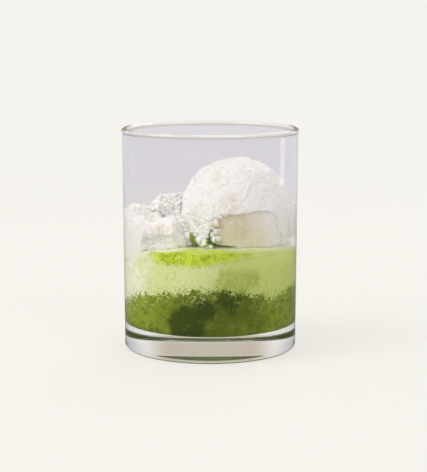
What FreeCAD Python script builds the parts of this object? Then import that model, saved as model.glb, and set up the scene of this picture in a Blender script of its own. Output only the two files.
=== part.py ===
"""Matcha affogato in a heavy-based tumbler.

Units are millimetres. +Z is up, the origin is the centre of the foot, on the plane that the
glass stands on, and -Y is the side that faces the guest. From the base upwards the glass holds
dark matcha, a paler layer of matcha and melted ice cream, and a skin of bright froth. A round
scoop of ice cream sits in them against the right of the wall, with a broken scoop on its left
and a loose curl that leans between the two.
"""

import FreeCAD
import Part

import math
import os

from FreeCAD import Vector

# Tumbler
GLASS_HEIGHT = 105.0
WALL_TOP_RADIUS = 41.6      # outside of the wall, just under the rim
WALL_FOOT_RADIUS = 40.9     # outside of the wall where it would meet the table
WALL_THICKNESS = 2.0
RIM_BEAD_RADIUS = 1.35      # section of the fire-polished bead
HEEL_RADIUS = 3.4
FLOOR_THICKNESS = 12.5
FLOOR_CORNER_RADIUS = 3.5
PUNT_RADIUS = 34.0          # shallow hollow under the base
PUNT_DEPTH = 0.8

# Layers, each measured up from the one below
MATCHA_DEPTH = 18.0
CREAM_DEPTH = 19.2
FROTH_DEPTH = 1.3           # where it is thinnest
FROTH_POOL_DEPTH = 4.6      # how much deeper it gathers at the front
FROTH_POOL_WIDTH = 33.0

# Round scoop
SCOOP_RADIUS = 27.2
SCOOP_SINK = 11.4           # how far its underside lies below the froth
SCOOP_PRESS = 0.4           # how far the glass flattens its side
SCOOP_TURN = -4.5           # where it touches the wall, in degrees round the glass
SCOOP_BASE_FLAT = 3.0       # how much of the ball its underside loses
SKIN_DEPTH = 2.1            # step from the scraped skin to the melted core
SKIN_DEPTH_HEALED = 0.45    # the same step at the right end of the tear
SKIN_SINK = 5.1             # how far the skin runs on below the froth

# Broken scoop
BROKEN_WIDTH = 33.0
BROKEN_LENGTH = 42.0
BROKEN_HEIGHT = 24.0
BROKEN_SINK = 9.6
BROKEN_PRESS = 2.6
BROKEN_TURN = 190.0

# Curl between the scoops
CURL_WIDTH = 12.5
CURL_LENGTH = 12.0
CURL_HEIGHT = 16.0
CURL_OVERLAP = 1.2          # how far it is pressed into the round scoop
CURL_RISE = 2.6             # its middle above the round scoop's middle
CURL_TURN = 184.0           # its side of the round scoop, in degrees

# Fineness of the free-form surfaces, as poles of each net
POLES_AROUND = 84
POLES_UP = 42
PATCH_POLES = 30
DEGREE = 3

GOLDEN_ANGLE = math.pi * (3.0 - math.sqrt(5.0))


# ---------------------------------------------------------------- turned shapes

def rounded_outline(corners):
    """Edges through (radius, height, fillet) corners in the XZ plane, each corner a tangent arc."""
    points = [Vector(r, 0, z) for r, z, _ in corners]
    edges = []
    start = points[0]
    for i in range(1, len(points) - 1):
        corner, fillet = points[i], corners[i][2]
        back = (points[i - 1] - corner).normalize()
        ahead = (points[i + 1] - corner).normalize()
        half_angle = back.getAngle(ahead) / 2
        trim = fillet / math.tan(half_angle)
        arc_start = corner + back * trim
        arc_end = corner + ahead * trim
        if fillet > 0:
            inward = (back + ahead).normalize()
            centre = corner + inward * (fillet / math.sin(half_angle))
            edges.append(Part.LineSegment(start, arc_start).toShape())
            edges.append(Part.Arc(arc_start, centre - inward * fillet, arc_end).toShape())
        else:
            edges.append(Part.LineSegment(start, corner).toShape())
        start = arc_end
    edges.append(Part.LineSegment(start, points[-1]).toShape())
    return edges


def turned(edges):
    """Solid of revolution about Z of a closed outline, with its seam at the back."""
    face = Part.Face(Part.Wire(edges))
    face.rotate(Vector(0, 0, 0), Vector(0, 0, 1), 90)
    return face.revolve(Vector(0, 0, 0), Vector(0, 0, 1), 360)


def wall_radius(height):
    """Outside of the tapered wall."""
    return WALL_FOOT_RADIUS + (WALL_TOP_RADIUS - WALL_FOOT_RADIUS) * height / GLASS_HEIGHT


def inner_radius(height):
    return wall_radius(height) - WALL_THICKNESS


def tumbler():
    """Drafted wall, heavy base with a domed punt, rounded heel and a beaded rim."""
    neck = GLASS_HEIGHT - RIM_BEAD_RADIUS - math.sqrt(RIM_BEAD_RADIUS ** 2 - WALL_THICKNESS ** 2 / 4)
    outside = Vector(wall_radius(neck), 0, neck)
    inside = Vector(inner_radius(neck), 0, neck)
    crown = Vector((outside.x + inside.x) / 2, 0, GLASS_HEIGHT)
    dome = Part.Arc(Vector(0, 0, PUNT_DEPTH), punt_point(PUNT_RADIUS / 2),
                    Vector(PUNT_RADIUS, 0, 0)).toShape()
    wall = rounded_outline([
        (PUNT_RADIUS, 0, 0),
        (wall_radius(0), 0, HEEL_RADIUS),
        (outside.x, neck, 0),
    ])
    bead = Part.Arc(outside, crown, inside).toShape()
    bowl = rounded_outline([
        (inside.x, neck, 0),
        (inner_radius(FLOOR_THICKNESS), FLOOR_THICKNESS, FLOOR_CORNER_RADIUS),
        (0, FLOOR_THICKNESS, 0),
    ])
    axis = Part.LineSegment(Vector(0, 0, FLOOR_THICKNESS), Vector(0, 0, PUNT_DEPTH)).toShape()
    return turned([dome] + wall + [bead] + bowl + [axis])


def punt_point(radius):
    """Point of the punt's dome at that distance from the axis."""
    sphere = (PUNT_RADIUS ** 2 + PUNT_DEPTH ** 2) / (2 * PUNT_DEPTH)
    return Vector(radius, 0, PUNT_DEPTH - sphere + math.sqrt(sphere ** 2 - radius ** 2))


def hollow(top):
    """What the tumbler's inside can hold, from its floor up to that height."""
    return turned(rounded_outline([
        (0, FLOOR_THICKNESS, 0),
        (inner_radius(FLOOR_THICKNESS), FLOOR_THICKNESS, FLOOR_CORNER_RADIUS),
        (inner_radius(top), top, 0),
        (0, top, 0),
        (0, FLOOR_THICKNESS, 0),
    ]))


# ---------------------------------------------------------------- free-form shapes

def lumps(point, wavelength, height, seed, count=11):
    """Smooth unevenness: waves that run through space in evenly spread directions."""
    total = 0.0
    for k in range(count):
        rise = 1 - 2 * (k + 0.5) / count
        level = math.sqrt(1 - rise * rise)
        turn = k * GOLDEN_ANGLE + seed
        along = Vector(level * math.cos(turn), level * math.sin(turn), rise).dot(point)
        total += math.sin(2 * math.pi * along / wavelength + seed * (k + 1) * (k + 2))
    return height * total / math.sqrt(count / 2)


def bump(x, y, centre, spread, height):
    """Round rise, or hollow if height is negative, in a level."""
    distance = (x - centre[0]) ** 2 + (y - centre[1]) ** 2
    return height * math.exp(-distance / (2 * spread ** 2))


def at_wall(degrees, share, height):
    """Point at a share of the way from the axis to the wall."""
    turn = math.radians(degrees)
    reach = share * inner_radius(height)
    return reach * math.cos(turn), reach * math.sin(turn)


def smooth_step(value, low, high):
    share = min(1.0, max(0.0, (value - low) / (high - low)))
    return share * share * (3 - 2 * share)


def clamped_knots(poles):
    """Knots and multiplicities of a spline that ends on its first and last poles."""
    spans = poles - DEGREE
    return list(range(spans + 1)), [DEGREE + 1] + [1] * (spans - 1) + [DEGREE + 1]


def slab(level, reach, thickness):
    """Solid under, or for a negative thickness over, an uneven level(x, y)."""
    steps = [reach * (2 * i / (PATCH_POLES - 1) - 1) for i in range(PATCH_POLES)]
    poles = [[Vector(x, y, level(x, y)) for y in steps] for x in steps]
    knots, counts = clamped_knots(PATCH_POLES)
    sheet = Part.BSplineSurface()
    sheet.buildFromPolesMultsKnots(poles, counts, counts, knots, knots, False, False,
                                   DEGREE, DEGREE)
    return sheet.toShape().extrude(Vector(0, 0, -thickness))


def blob(centre, distance):
    """Closed free-form solid: distance(direction) is how far it reaches from its centre.

    Its skin is two halves that meet at the front and back, clear of the sides that are cut to
    the wall or to a neighbour.
    """
    poles = []
    for i in range(POLES_AROUND):
        turn = 2 * math.pi * (i / POLES_AROUND + 0.25)
        column = []
        for j in range(POLES_UP):
            rise = math.pi * (j / (POLES_UP - 1) - 0.5)
            if j in (0, POLES_UP - 1):
                direction = Vector(0, 0, math.copysign(1, rise))
            else:
                direction = Vector(math.cos(rise) * math.cos(turn),
                                   math.cos(rise) * math.sin(turn), math.sin(rise))
            column.append(centre + direction * distance(direction))
        poles.append(column)
    knots, counts = clamped_knots(POLES_UP)
    skin = Part.BSplineSurface()
    skin.buildFromPolesMultsKnots(poles, [1] * (POLES_AROUND + 1), counts,
                                  list(range(POLES_AROUND + 1)), knots, True, False,
                                  DEGREE, DEGREE)
    halves = []
    for start in (0, POLES_AROUND / 2):
        half = skin.copy()
        half.segment(start, start + POLES_AROUND / 2, 0, knots[-1])
        halves.append(half.toShape())
    shell = Part.Shell(halves)
    shell.sewShape()
    solid = Part.Solid(shell)
    if solid.Volume < 0:
        solid.reverse()
    return solid


def egg(direction, width, length, height, squareness):
    """Reach of a rounded block of that size, from its middle."""
    share = (abs(direction.x / (width / 2)) ** squareness
             + abs(direction.y / (length / 2)) ** squareness
             + abs(direction.z / (height / 2)) ** squareness)
    return share ** (-1 / squareness)


def towards(degrees, rise):
    """Unit direction at that bearing and elevation, in degrees."""
    turn, lift = math.radians(degrees), math.radians(rise)
    return Vector(math.cos(lift) * math.cos(turn), math.cos(lift) * math.sin(turn), math.sin(lift))


def groove(direction, start, end, width, depth):
    """Depth of a crack that runs over a ball between two directions and fades at its ends."""
    chord = end - start
    share = min(1.0, max(0.0, (direction - start).dot(chord) / chord.dot(chord)))
    beside = direction.getAngle((start + chord * share).normalize())
    return depth * math.sqrt(math.sin(math.pi * share)) * math.exp(-(beside / width) ** 2)


def peak(direction, towards_peak, spread, height):
    """Rise of a ragged point on a blob."""
    return height * math.exp(-(direction.getAngle(towards_peak) / spread) ** 2)


def largest(shape):
    """The main piece of a shape, without the crumbs that a cut may leave."""
    return max(shape.Solids, key=lambda solid: solid.Volume)


# ---------------------------------------------------------------- levels

MATCHA_TOP = FLOOR_THICKNESS + MATCHA_DEPTH
CREAM_TOP = MATCHA_TOP + CREAM_DEPTH
FROTH_TOP = CREAM_TOP + FROTH_DEPTH


def matcha_level(x, y):
    """Where the dark matcha turns into the paler layer: domed at the front, drawn down beside it."""
    level = MATCHA_TOP
    level += bump(x, y, at_wall(-90, 0.95, MATCHA_TOP), 17.0, 3.2)
    level += bump(x, y, at_wall(-172, 1.0, MATCHA_TOP), 11.0, -7.0)
    level += bump(x, y, at_wall(-49, 0.95, MATCHA_TOP), 5.0, -3.0)
    level += bump(x, y, at_wall(75, 0.9, MATCHA_TOP), 15.0, 2.4)
    return level + lumps(Vector(x, y, 0), 9.0, 0.45, seed=0.7)


def froth_level(x, y):
    """Top of the froth: all but level, and lower where the ice cream leans on the wall."""
    level = FROTH_TOP
    level += bump(x, y, at_wall(-158, 0.98, FROTH_TOP), 9.0, -3.2)
    level += bump(x, y, at_wall(-2, 0.95, FROTH_TOP), 11.0, -1.3)
    level += bump(x, y, at_wall(100, 0.9, FROTH_TOP), 16.0, -1.0)
    return level + lumps(Vector(x, y, 0), 14.0, 0.22, seed=2.1)


def cream_level(x, y):
    """Top of the paler layer: the froth lies thin on it, and gathers in a pool at the front."""
    pool = bump(x, y, at_wall(-106, 0.99, FROTH_TOP), FROTH_POOL_WIDTH / 2, FROTH_POOL_DEPTH)
    return froth_level(x, y) - FROTH_DEPTH - pool


# ---------------------------------------------------------------- ice cream

SCOOP_HEIGHT = FROTH_TOP - SCOOP_SINK - SCOOP_BASE_FLAT + SCOOP_RADIUS
SCOOP_REACH = inner_radius(SCOOP_HEIGHT) + SCOOP_PRESS - SCOOP_RADIUS
SCOOP_CENTRE = Vector(SCOOP_REACH * math.cos(math.radians(SCOOP_TURN)),
                      SCOOP_REACH * math.sin(math.radians(SCOOP_TURN)), SCOOP_HEIGHT)


def flattened(reach, direction, radius, flat):
    """Reach of a ball that its flat underside cuts short, with a soft edge."""
    if direction.z >= 0:
        return reach
    floor = (radius - flat) / -direction.z
    return (reach ** -12 + floor ** -12) ** (-1 / 12)


def skin_reach(direction):
    """Scraped outside of the round scoop: cracks, a rolled lip, a dragged ledge, a torn foot."""
    reach = SCOOP_RADIUS
    reach += lumps(direction * SCOOP_RADIUS, 17.0, 0.30, seed=1.3)
    reach += lumps(direction * SCOOP_RADIUS, 7.5, 0.20, seed=3.9)
    reach -= groove(direction, towards(-122, 66), towards(-121, 20), 0.055, 1.3)
    reach -= groove(direction, towards(-96, 47), towards(-66, 44), 0.05, 0.7)
    reach -= groove(direction, towards(-142, 12), towards(-128, -30), 0.06, 1.5)
    reach -= groove(direction, towards(35, 62), towards(88, 15), 0.06, 1.4)
    reach -= groove(direction, towards(150, 50), towards(120, 8), 0.055, 1.1)
    reach += groove(direction, towards(-124, 8), towards(-38, 10), 0.07, 1.0)
    reach += peak(direction, towards(-168, 44), 0.10, 0.9)
    reach += peak(direction, towards(-152, -14), 0.24, 2.2)
    reach += peak(direction, towards(-128, -20), 0.18, 1.0)
    return flattened(reach, direction, SCOOP_RADIUS, SCOOP_BASE_FLAT)


def core_reach(direction):
    """Melted core that shows under the torn skin."""
    reach = SCOOP_RADIUS - SKIN_DEPTH + lumps(direction * SCOOP_RADIUS, 19.0, 0.25, seed=5.2)
    bearing = math.degrees(math.atan2(direction.y, direction.x))
    healed = smooth_step(bearing, -84, -44) * (1 - smooth_step(bearing, 0, 40))
    reach += (SKIN_DEPTH - SKIN_DEPTH_HEALED) * healed
    return flattened(reach, direction, SCOOP_RADIUS, SCOOP_BASE_FLAT + SKIN_DEPTH / 2)


def skin_edge(x, y):
    """Height of the torn edge of the skin: up over the melted core in two places, else sunk."""
    east, north = x - SCOOP_CENTRE.x, y - SCOOP_CENTRE.y
    bearing = math.degrees(math.atan2(north, east))
    front = smooth_step(bearing, -132, -112) * (1 - smooth_step(bearing, -54, -26))
    back = smooth_step(bearing, 46, 70) * (1 - smooth_step(bearing, 112, 140))
    ragged = (0.7 * math.sin(math.radians(9 * bearing)) + 0.6 * math.sin(math.radians(17 * bearing))
              + 0.3 * math.sin(math.radians(31 * bearing)))
    sunk = FROTH_TOP - SKIN_SINK
    front_edge = SCOOP_HEIGHT + 3.8 + 0.04 * (bearing + 90) + ragged
    back_edge = SCOOP_HEIGHT - 5.5 + ragged
    rise = (front_edge - sunk) * front + (back_edge - sunk) * back
    return sunk + rise * smooth_step(math.hypot(east, north), 0.2 * SCOOP_RADIUS, 0.6 * SCOOP_RADIUS)


def round_scoop():
    """Ball from a disher: a scraped skin that is torn open over the melted core."""
    ball = blob(SCOOP_CENTRE, skin_reach)
    core = blob(SCOOP_CENTRE, core_reach)
    skin = ball.common(slab(skin_edge, 2 * wall_radius(SCOOP_HEIGHT), -3 * SCOOP_RADIUS))
    return skin.fuse(core)


BROKEN_MIDDLE = FROTH_TOP - BROKEN_SINK + BROKEN_HEIGHT / 2
BROKEN_REACH = inner_radius(BROKEN_MIDDLE) + BROKEN_PRESS - BROKEN_WIDTH / 2
BROKEN_CENTRE = Vector(BROKEN_REACH * math.cos(math.radians(BROKEN_TURN)),
                       BROKEN_REACH * math.sin(math.radians(BROKEN_TURN)), BROKEN_MIDDLE)


def broken_reach(direction):
    """Half-crushed scoop: a rounded block that slopes up to ragged peaks along the wall."""
    reach = egg(direction, BROKEN_WIDTH, BROKEN_LENGTH, BROKEN_HEIGHT, 2.8)
    place = direction * reach
    reach += lumps(place, 13.0, 0.7, seed=0.4) + lumps(place, 6.5, 0.4, seed=4.4)
    reach += peak(direction, towards(-168, 50), 0.30, 6.0)
    reach += peak(direction, towards(-140, 58), 0.16, 2.2)
    reach += peak(direction, towards(-85, 66), 0.14, 2.2)
    reach += peak(direction, towards(120, 45), 0.30, 3.0)
    reach -= peak(direction, towards(10, 62), 0.45, 2.2)
    return reach


CURL_DISTANCE = SCOOP_RADIUS - CURL_OVERLAP + CURL_WIDTH / 2
CURL_CENTRE = SCOOP_CENTRE + Vector(CURL_DISTANCE * math.cos(math.radians(CURL_TURN)),
                                    CURL_DISTANCE * math.sin(math.radians(CURL_TURN)), CURL_RISE)


def curl_reach(direction):
    """Ragged crumb with one pointed end."""
    reach = egg(direction, CURL_WIDTH, CURL_LENGTH, CURL_HEIGHT, 2.2)
    place = direction * reach
    reach += lumps(place, 6.0, 0.45, seed=2.9) + lumps(place, 3.6, 0.2, seed=6.1)
    reach += peak(direction, towards(-176, 14), 0.28, 2.4)
    reach += peak(direction, towards(-110, 72), 0.25, 1.2)
    reach += peak(direction, towards(-60, -50), 0.35, 1.0)
    return reach


# ---------------------------------------------------------------- the dessert

def trimmed(shape, inside, tools):
    """What stays of a shape within the glass and clear of the tools.

    The tools are whole pieces that run on through the glass, so no two faces lie on each other
    while they cut.
    """
    for tool in tools:
        shape = shape.cut(tool)
    return largest(shape.common(inside))


def build():
    """Every piece by its node's name, each seated face to face in the ones before it."""
    inside = hollow(GLASS_HEIGHT + SCOOP_RADIUS)
    scoop = round_scoop()
    broken = blob(BROKEN_CENTRE, broken_reach)
    curl = blob(CURL_CENTRE, curl_reach)
    reach = 1.15 * wall_radius(GLASS_HEIGHT)
    below_matcha = slab(matcha_level, reach, GLASS_HEIGHT)
    below_cream = slab(cream_level, reach, GLASS_HEIGHT)
    below_froth = slab(froth_level, reach, GLASS_HEIGHT)
    return {
        "glass": tumbler(),
        "scoop": trimmed(scoop, inside, []),
        "broken_scoop": trimmed(broken, inside, [scoop]),
        "curl": trimmed(curl, inside, [scoop, broken]),
        "froth": trimmed(below_froth, inside, [below_cream, scoop, broken]),
        "matcha_cream": trimmed(below_cream, inside, [below_matcha, scoop, broken]),
        "matcha": trimmed(below_matcha, inside, []),
    }


os.makedirs("parts", exist_ok=True)
for name, shape in build().items():
    shape.exportStep("parts/" + name + ".step")
    size = shape.optimalBoundingBox()
    print(f"{name:13s} {shape.Volume / 1000:8.2f} cm3  valid {shape.isValid()}  "
          f"X {size.XMin:6.1f} {size.XMax:6.1f}  Y {size.YMin:6.1f} {size.YMax:6.1f}  "
          f"Z {size.ZMin:6.1f} {size.ZMax:6.1f}")
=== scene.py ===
"""Matcha affogato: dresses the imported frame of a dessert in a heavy-based tumbler.

Everything is in metres in the frame's own axes: +Z is up from the centre of the foot and -Y
faces the guest. The tumbler is turned from its section. The drink and the ice cream start from
even copies of the frame's solids, are sunk a little into the glass so that no air shows between
them, and are then worked over: scraped, pitted, crumbled and stained.
"""

from __future__ import annotations

import logging
import math
import random
from dataclasses import dataclass
from enum import Enum
from typing import Callable, Union

import bmesh
import bpy
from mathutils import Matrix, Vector, noise
from mathutils.bvhtree import BVHTree

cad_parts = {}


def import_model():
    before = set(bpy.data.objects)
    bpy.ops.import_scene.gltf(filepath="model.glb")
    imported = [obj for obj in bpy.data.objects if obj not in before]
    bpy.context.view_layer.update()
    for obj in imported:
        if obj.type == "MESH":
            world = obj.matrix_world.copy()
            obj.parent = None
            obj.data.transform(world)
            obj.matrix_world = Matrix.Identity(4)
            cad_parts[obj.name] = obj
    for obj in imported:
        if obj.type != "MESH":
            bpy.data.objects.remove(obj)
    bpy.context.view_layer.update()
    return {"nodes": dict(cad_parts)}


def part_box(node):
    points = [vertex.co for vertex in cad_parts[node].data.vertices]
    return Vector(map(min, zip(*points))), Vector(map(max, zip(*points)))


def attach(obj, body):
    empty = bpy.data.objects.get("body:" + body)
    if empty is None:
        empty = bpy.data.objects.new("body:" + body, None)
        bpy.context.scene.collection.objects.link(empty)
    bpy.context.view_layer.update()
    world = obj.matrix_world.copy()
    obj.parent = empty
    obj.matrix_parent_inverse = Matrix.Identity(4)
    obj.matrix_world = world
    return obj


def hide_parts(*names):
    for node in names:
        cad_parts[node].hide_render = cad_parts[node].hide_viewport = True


LOG = logging.getLogger("affogato")

MM = 0.001
SAME = 0.001 * MM  # points closer than this are one
UP = Vector((0.0, 0.0, 1.0))
DOWN = Vector((0.0, 0.0, -1.0))
BODY = "root"

Socket = bpy.types.NodeSocket
Feed = Union[Socket, float, int, tuple]


class Solid(Enum):
    """The frame's solids, by their node names."""

    GLASS = "glass"
    MATCHA = "matcha"
    CREAM = "matcha_cream"
    FROTH = "froth"
    SCOOP = "scoop"
    BROKEN = "broken_scoop"
    CURL = "curl"


class Trait(Enum):
    """Numbers kept on each point of a mesh for its material to read, mostly in millimetres."""

    EDGE = "edge"
    TOP = "top"
    POOL = "pool"
    RICH = "rich"
    RELIEF = "relief"
    SOAK = "soak"
    CORE = "core"


@dataclass(frozen=True)
class Tint:
    """A colour as a paint chart gives it, from 0 to 255."""

    red: int
    green: int
    blue: int

    @property
    def linear(self) -> tuple[float, float, float, float]:
        """The colour as light, with full alpha."""
        return (*(self._light(v / 255) for v in (self.red, self.green, self.blue)), 1.0)

    @staticmethod
    def _light(value: float) -> float:
        """One channel from display value to light."""
        return value / 12.92 if value <= 0.04045 else ((value + 0.055) / 1.055) ** 2.4


# ------------------------------------------------------------------ wiring of materials


class Wiring:
    """Adds and joins the nodes of one tree in few words."""

    def __init__(self, tree: bpy.types.NodeTree) -> None:
        """Starts on a tree.

        Args:
            tree: The tree that gets the nodes.
        """
        self.tree = tree

    def add(self, kind: str, feeds: dict | None = None, **settings: object) -> bpy.types.Node:
        """Adds a node.

        Args:
            kind: The node's class without its ShaderNode prefix.
            feeds: A socket or value for each named or numbered input.
            **settings: The node's own properties.

        Returns:
            The new node.
        """
        node = self.tree.nodes.new("ShaderNode" + kind)
        for name, value in settings.items():
            setattr(node, name, value)
        for key, value in (feeds or {}).items():
            self.feed(node, key, value)
        return node

    def feed(self, node: bpy.types.Node, key: str | int, value: Feed) -> None:
        """Links a socket to an input, or sets the input to a value."""
        if isinstance(value, bpy.types.NodeSocket):
            self.tree.links.new(value, node.inputs[key])
        else:
            node.inputs[key].default_value = value

    def span(self, value: Feed, low: float, high: float, top: float = 1.0) -> Socket:
        """Eases a value from 0 at low to top at high, where high may be the smaller."""
        feeds = {0: value, 1: low, 2: high, 4: top}
        return self.add("MapRange", feeds, interpolation_type="SMOOTHSTEP").outputs[0]

    def calc(self, operation: str, first: Feed, second: Feed = 0.0) -> Socket:
        """Arithmetic on one or two values."""
        return self.add("Math", {0: first, 1: second}, operation=operation).outputs[0]

    def times(self, first: Feed, second: Feed) -> Socket:
        """Product of two values."""
        return self.calc("MULTIPLY", first, second)

    def sway(self, patches: Socket, amount: float) -> Socket:
        """Turns patches from 0 to 1 into a sway about 0, as wide as an amount."""
        return self.times(self.calc("SUBTRACT", patches, 0.5), amount)

    def blend(self, share: Feed, first: Feed, second: Feed) -> Socket:
        """Colour between first, at a share of 0, and second, at 1."""
        feeds = {0: share, 6: first, 7: second}
        return self.add("Mix", feeds, data_type="RGBA").outputs[2]

    def coats(self, base: Tint, layers: tuple[tuple[Socket, Tint], ...]) -> Socket:
        """Lays coats of paint over each other.

        Args:
            base: The lowest paint.
            layers: The share and the paint of each coat, from the lowest up.

        Returns:
            The colour.
        """
        colour = base.linear
        for share, paint in layers:
            colour = self.blend(share, colour, paint.linear)
        return colour

    def near(self, place: Socket, spot: tuple, inner: float, outer: float) -> Socket:
        """Share that is 1 within inner of a spot and 0 beyond outer."""
        away = self.add("VectorMath", {0: place, 1: spot}, operation="DISTANCE")
        return self.span(away.outputs["Value"], outer, inner)

    def trait(self, which: Trait) -> Socket:
        """A number that the mesh keeps on its points."""
        return self.add("Attribute", attribute_name=which.value).outputs["Fac"]

    def use(self, effect: bpy.types.NodeTree, feeds: dict) -> Socket:
        """First output of a shared effect, with its inputs fed."""
        node = self.add("Group")
        node.node_tree = effect
        for key, value in feeds.items():
            self.feed(node, key, value)
        return node.outputs[0]


class Effects:
    """Shared effects, each a node group that is built once."""

    def __init__(self) -> None:
        """Builds every group."""
        self.clouds = self._clouds()
        self.specks = self._specks()
        self.pores = self._pores()
        self.ragged = self._ragged()
        self.drink = self._drink()

    @staticmethod
    def _group(name: str, inputs: dict[str, float | None],
               result: str = "Mask") -> tuple[Wiring, dict, bpy.types.Node]:
        """Starts a group.

        Args:
            name: The group's name.
            inputs: Each input's default, or None for a vector.
            result: What it puts out, a Mask or a Colour.

        Returns:
            The wiring of the group, its input sockets by name, and its output node.
        """
        tree = bpy.data.node_groups.new(name, "ShaderNodeTree")
        for label, value in inputs.items():
            kind = "NodeSocketVector" if value is None else "NodeSocketFloat"
            socket = tree.interface.new_socket(label, in_out="INPUT", socket_type=kind)
            if value is not None:
                socket.default_value = value
        kind = "NodeSocketColor" if result == "Colour" else "NodeSocketFloat"
        tree.interface.new_socket(result, in_out="OUTPUT", socket_type=kind)
        entry = tree.nodes.new("NodeGroupInput")
        leave = tree.nodes.new("NodeGroupOutput")
        return Wiring(tree), {label: entry.outputs[label] for label in inputs}, leave

    def _clouds(self) -> bpy.types.NodeTree:
        """Soft patches of uneven size."""
        wire, into, leave = self._group(
            "clouds", {"Place": None, "Scale": 100.0, "Detail": 4.0, "Low": 0.4, "High": 0.6})
        cloud = wire.add("TexNoise", {"Vector": into["Place"], "Scale": into["Scale"],
                                      "Detail": into["Detail"], "Roughness": 0.6})
        eased = wire.add("MapRange", {0: cloud.outputs[0], 1: into["Low"], 2: into["High"]},
                         interpolation_type="SMOOTHSTEP")
        wire.feed(leave, 0, eased.outputs[0])
        return wire.tree

    def _specks(self) -> bpy.types.NodeTree:
        """Scattered ragged dots, in drifts."""
        wire, into, leave = self._group(
            "specks", {"Place": None, "Scale": 800.0, "Reach": 0.3, "Drift": 120.0})
        ragged = wire.add("TexNoise", {"Vector": into["Place"], "Scale": into["Scale"],
                                       "Detail": 2.0})
        cells = wire.add("TexVoronoi", {"Vector": into["Place"], "Scale": into["Scale"]})
        frayed = wire.calc("ADD", cells.outputs["Distance"],
                           wire.sway(ragged.outputs[0], 0.7))
        dots = wire.span(wire.calc("SUBTRACT", into["Reach"], frayed), 0.0, 0.12)
        drift = wire.add("TexNoise", {"Vector": into["Place"], "Scale": into["Drift"],
                                      "Detail": 3.0})
        gathered = wire.span(drift.outputs[0], 0.38, 0.58)
        wire.feed(leave, 0, wire.times(dots, gathered))
        return wire.tree

    def _pores(self) -> bpy.types.NodeTree:
        """Fine grain with small round pits, as a height."""
        wire, into, leave = self._group("pores", {"Place": None, "Scale": 900.0, "Pits": 0.5})
        grain = wire.add("TexNoise", {"Vector": into["Place"], "Scale": into["Scale"],
                                      "Detail": 5.0, "Roughness": 0.65})
        cells = wire.add("TexVoronoi", {"Vector": into["Place"], "Scale": into["Scale"]},
                         feature="SMOOTH_F1")
        pits = wire.times(wire.span(cells.outputs["Distance"], 0.5, 0.0), into["Pits"])
        wire.feed(leave, 0, wire.calc("SUBTRACT", grain.outputs[0], pits))
        return wire.tree

    def _ragged(self) -> bpy.types.NodeTree:
        """Splits a place into below and above a level that frays and bubbles."""
        wire, into, leave = self._group(
            "ragged", {"Place": None, "Height": 0.0, "Reach": 1.0, "Scale": 700.0,
                       "Soft": 0.3})
        broad = wire.add("TexNoise", {"Vector": into["Place"], "Detail": 3.0, "Roughness": 0.6,
                                      "Scale": wire.times(into["Scale"], 0.3)})
        fine = wire.add("TexNoise", {"Vector": into["Place"], "Scale": into["Scale"],
                                     "Detail": 4.0, "Roughness": 0.7})
        sway = wire.calc("ADD", wire.times(broad.outputs[0], 2.4),
                         wire.times(fine.outputs[0], 3.6))
        shift = wire.times(wire.calc("SUBTRACT", sway, 3.0), into["Reach"])
        level = wire.calc("ADD", into["Height"], shift)
        wire.feed(leave, 0, wire.span(wire.calc("DIVIDE", level, into["Soft"]), -1.0, 1.0))
        return wire.tree

    def _drink(self) -> bpy.types.NodeTree:
        """Colour of the drink anywhere, from the tea at the bottom to the foam on top."""
        wire, into, leave = self._group(
            "drink", {"Place": None, "Edge": 0.0, "Top": 0.0, "Pool": 1.0, "Rich": 9.0},
            "Colour")
        recipe = DrinkRecipe(wire, into["Place"], self)
        tea, cream = recipe.tea(), recipe.cream(into["Top"])
        foam = recipe.foam(into["Pool"], into["Rich"], cream)
        fray = {"Place": into["Place"], "Height": into["Edge"], "Reach": 3.0, "Scale": 800.0}
        lower = wire.blend(wire.use(self.ragged, fray), tea, cream)
        # Cream shows as specks down to 9 mm under the edge, and tea up to 4.5 mm over it.
        edge = into["Edge"]
        creamy = wire.times(recipe.specks(820, 0.48, 230), wire.span(edge, -9.0, -0.5))
        leafy = wire.times(recipe.specks(900, 0.40, 260), wire.span(edge, 4.5, 0.2))
        creamy = wire.times(creamy, wire.span(edge, 1.0, -0.2, 0.6))
        leafy = wire.times(leafy, wire.span(edge, -1.0, 0.2, 0.7))
        lower = wire.blend(leafy, wire.blend(creamy, lower, cream), tea)
        froth = {"Place": into["Place"], "Height": into["Top"], "Reach": 1.6, "Scale": 600.0,
                 "Soft": 0.9}
        wire.feed(leave, 0, wire.blend(wire.use(self.ragged, froth), lower, foam))
        return wire.tree


@dataclass(frozen=True)
class Palette:
    """The drink's paints."""

    # Dark tea, also used for the painted dark reflection near the front.
    dark_tea_and_reflection: Tint = Tint(60, 76, 0)
    tea: Tint = Tint(98, 114, 14)
    moss: Tint = Tint(122, 140, 34)
    leaf: Tint = Tint(160, 180, 52)
    creamy: Tint = Tint(252, 252, 232)
    pale: Tint = Tint(234, 240, 176)
    green: Tint = Tint(182, 196, 90)
    mild: Tint = Tint(225, 236, 146)
    bright: Tint = Tint(218, 235, 66)
    lime: Tint = Tint(197, 216, 44)
    # Melted ice cream in the foam, also a painted highlight at the froth's top edge.
    melt_and_highlight: Tint = Tint(246, 250, 218)
    # Painted shade of the froth's bubble pits.
    pit: Tint = Tint(120, 142, 14)


class Patterns:
    """Patches and dots over one piece, from the shared effects."""

    def __init__(self, wire: Wiring, place: Socket, effects: Effects) -> None:
        """Keeps what the patterns are made from.

        Args:
            wire: Wiring of the tree under way.
            place: The place on the piece.
            effects: The shared effects.
        """
        self.wire = wire
        self.place = place
        self.effects = effects

    def clouds(self, scale: float, low: float, high: float, share: float = 1.0) -> Socket:
        """Soft patches, up to a share."""
        mask = self.wire.use(self.effects.clouds, {
            "Place": self.place, "Scale": scale, "Low": low, "High": high})
        return self.wire.times(mask, share)

    def specks(self, scale: float, reach: float, drift: float, share: float = 1.0) -> Socket:
        """Scattered dots, up to a share."""
        mask = self.wire.use(self.effects.specks, {
            "Place": self.place, "Scale": scale, "Reach": reach, "Drift": drift})
        return self.wire.times(mask, share)


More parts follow.
